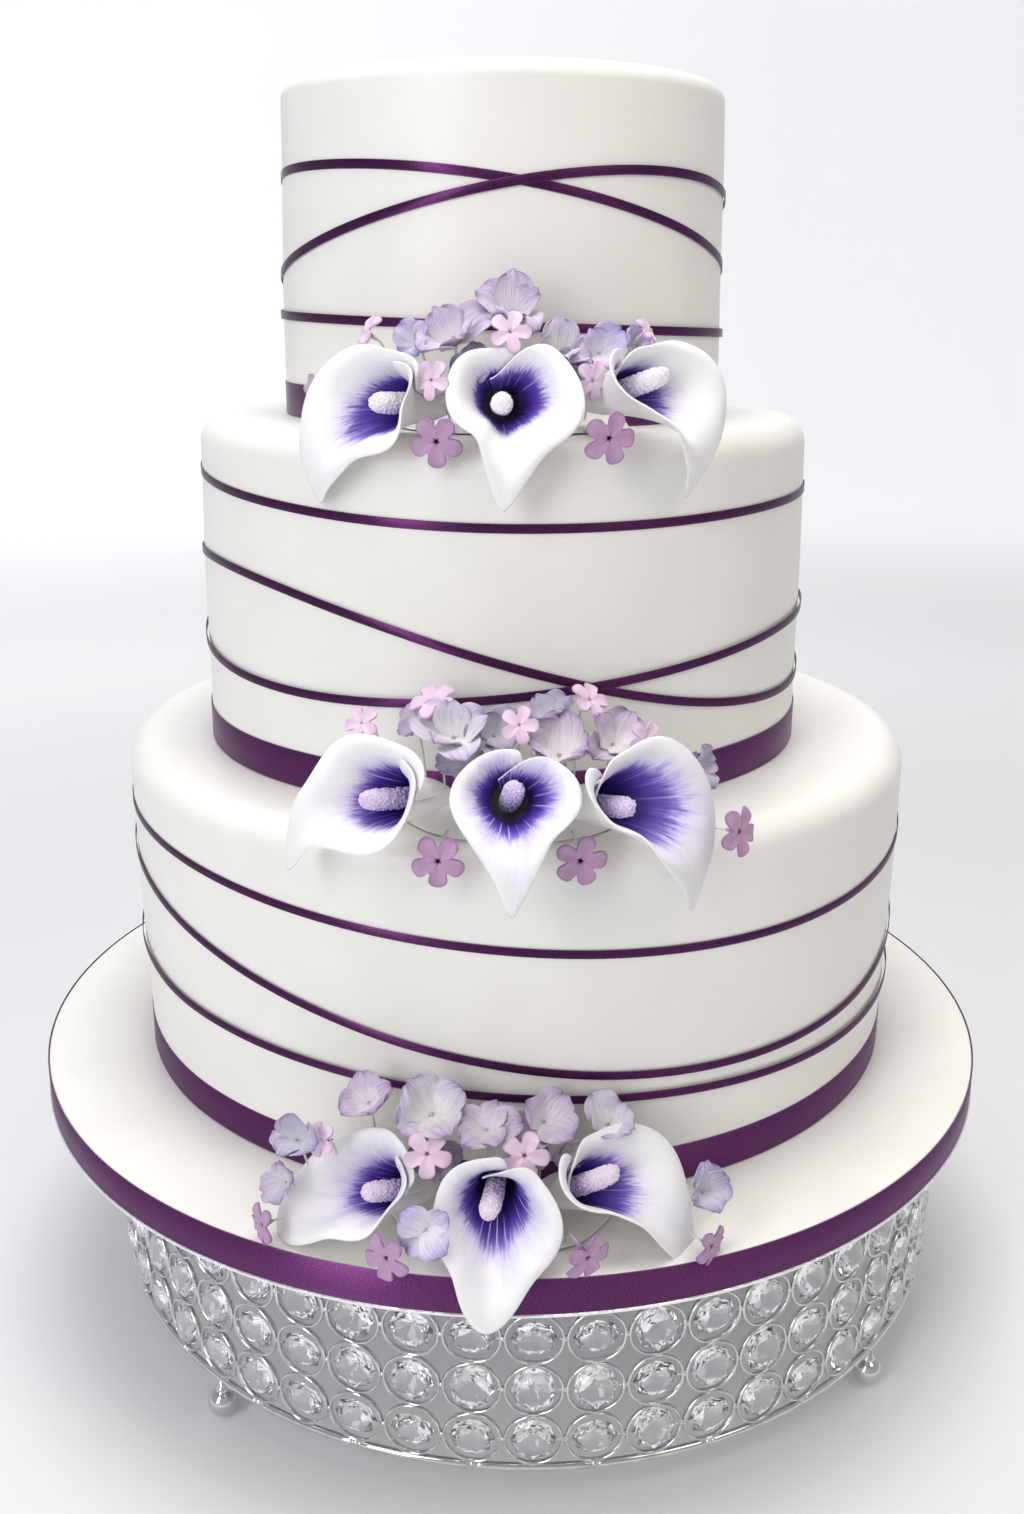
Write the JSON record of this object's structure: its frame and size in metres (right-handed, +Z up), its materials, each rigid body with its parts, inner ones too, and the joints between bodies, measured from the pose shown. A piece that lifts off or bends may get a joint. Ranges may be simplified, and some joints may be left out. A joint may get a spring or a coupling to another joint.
{
  "type": "tiered cake",
  "caption": "Round three-tier iced cake on a covered drum and a crystal ring stand, with satin ribbons and sprays of sugar calla lilies.",
  "frame": {"origin": "on the floor under the middle of the cake drum", "axes": "+Z up, flowers facing -Y"},
  "size_m": [0.406, 0.4131, 0.492],
  "materials": {
    "fondant": "smooth sugar icing, soft satin",
    "satin": "plum satin ribbon",
    "sugar_white": "sugar petal, dusted blue violet in the throat",
    "sugar_spadix": "rough, sugar grained",
    "sugar_lilac": "thin veined sugar petal",
    "sugar_mauve": "matte sugar petal",
    "foil": "silver drum foil",
    "chrome": "polished wire",
    "crystal": "clear faceted beads"
  },
  "bodies": {
    "root": {"base_ribbon_bottom": "satin", "base_ribbon_middle": "satin", "base_ribbon_top": "satin", "blossom_bottom_1": "sugar_mauve", "blossom_bottom_2": "sugar_mauve", "blossom_bottom_3": "sugar_mauve", "blossom_bottom_4": "sugar_mauve", "blossom_middle_1": "sugar_mauve", "blossom_middle_2": "sugar_mauve", "blossom_middle_3": "sugar_mauve", "blossom_middle_4": "sugar_mauve", "blossom_top_1": "sugar_mauve", "blossom_top_2": "sugar_mauve", "blossom_top_3": "sugar_mauve", "blossom_top_4": "sugar_mauve", "calla_bottom_left": "sugar_white", "calla_bottom_middle": "sugar_white", "calla_bottom_right": "sugar_white", "calla_middle_left": "sugar_white", "calla_middle_middle": "sugar_white", "calla_middle_right": "sugar_white", "calla_top_left": "sugar_white", "calla_top_middle": "sugar_white", "calla_top_right": "sugar_white", "drum_board": "foil", "drum_icing": "fondant", "drum_ribbon": "satin", "hydrangea_bottom_1": "sugar_lilac", "hydrangea_bottom_2": "sugar_lilac", "hydrangea_bottom_3": "sugar_lilac", "hydrangea_bottom_4": "sugar_lilac", "hydrangea_bottom_5": "sugar_lilac", "hydrangea_middle_1": "sugar_lilac", "hydrangea_middle_2": "sugar_lilac", "hydrangea_middle_3": "sugar_lilac", "hydrangea_top_1": "sugar_lilac", "hydrangea_top_2": "sugar_lilac", "hydrangea_top_3": "sugar_lilac", "hydrangea_top_4": "sugar_lilac", "narrow_ribbon_bottom": "satin", "narrow_ribbon_middle": "satin", "narrow_ribbon_top": "satin", "paste_pad_bottom": "fondant", "paste_pad_middle": "fondant", "paste_pad_top": "fondant", "spadix_bottom_left": "sugar_spadix", "spadix_bottom_middle": "sugar_spadix", "spadix_bottom_right": "sugar_spadix", "spadix_middle_left": "sugar_spadix", "spadix_middle_middle": "sugar_spadix", "spadix_middle_right": "sugar_spadix", "spadix_top_left": "sugar_spadix", "spadix_top_middle": "sugar_spadix", "spadix_top_right": "sugar_spadix", "stand_crystal_band": "crystal", "stand_lower_hoop_and_feet": "chrome", "stand_plate": "chrome", "tier_bottom": "fondant", "tier_middle": "fondant", "tier_top": "fondant"}
  },
  "joints": []
}
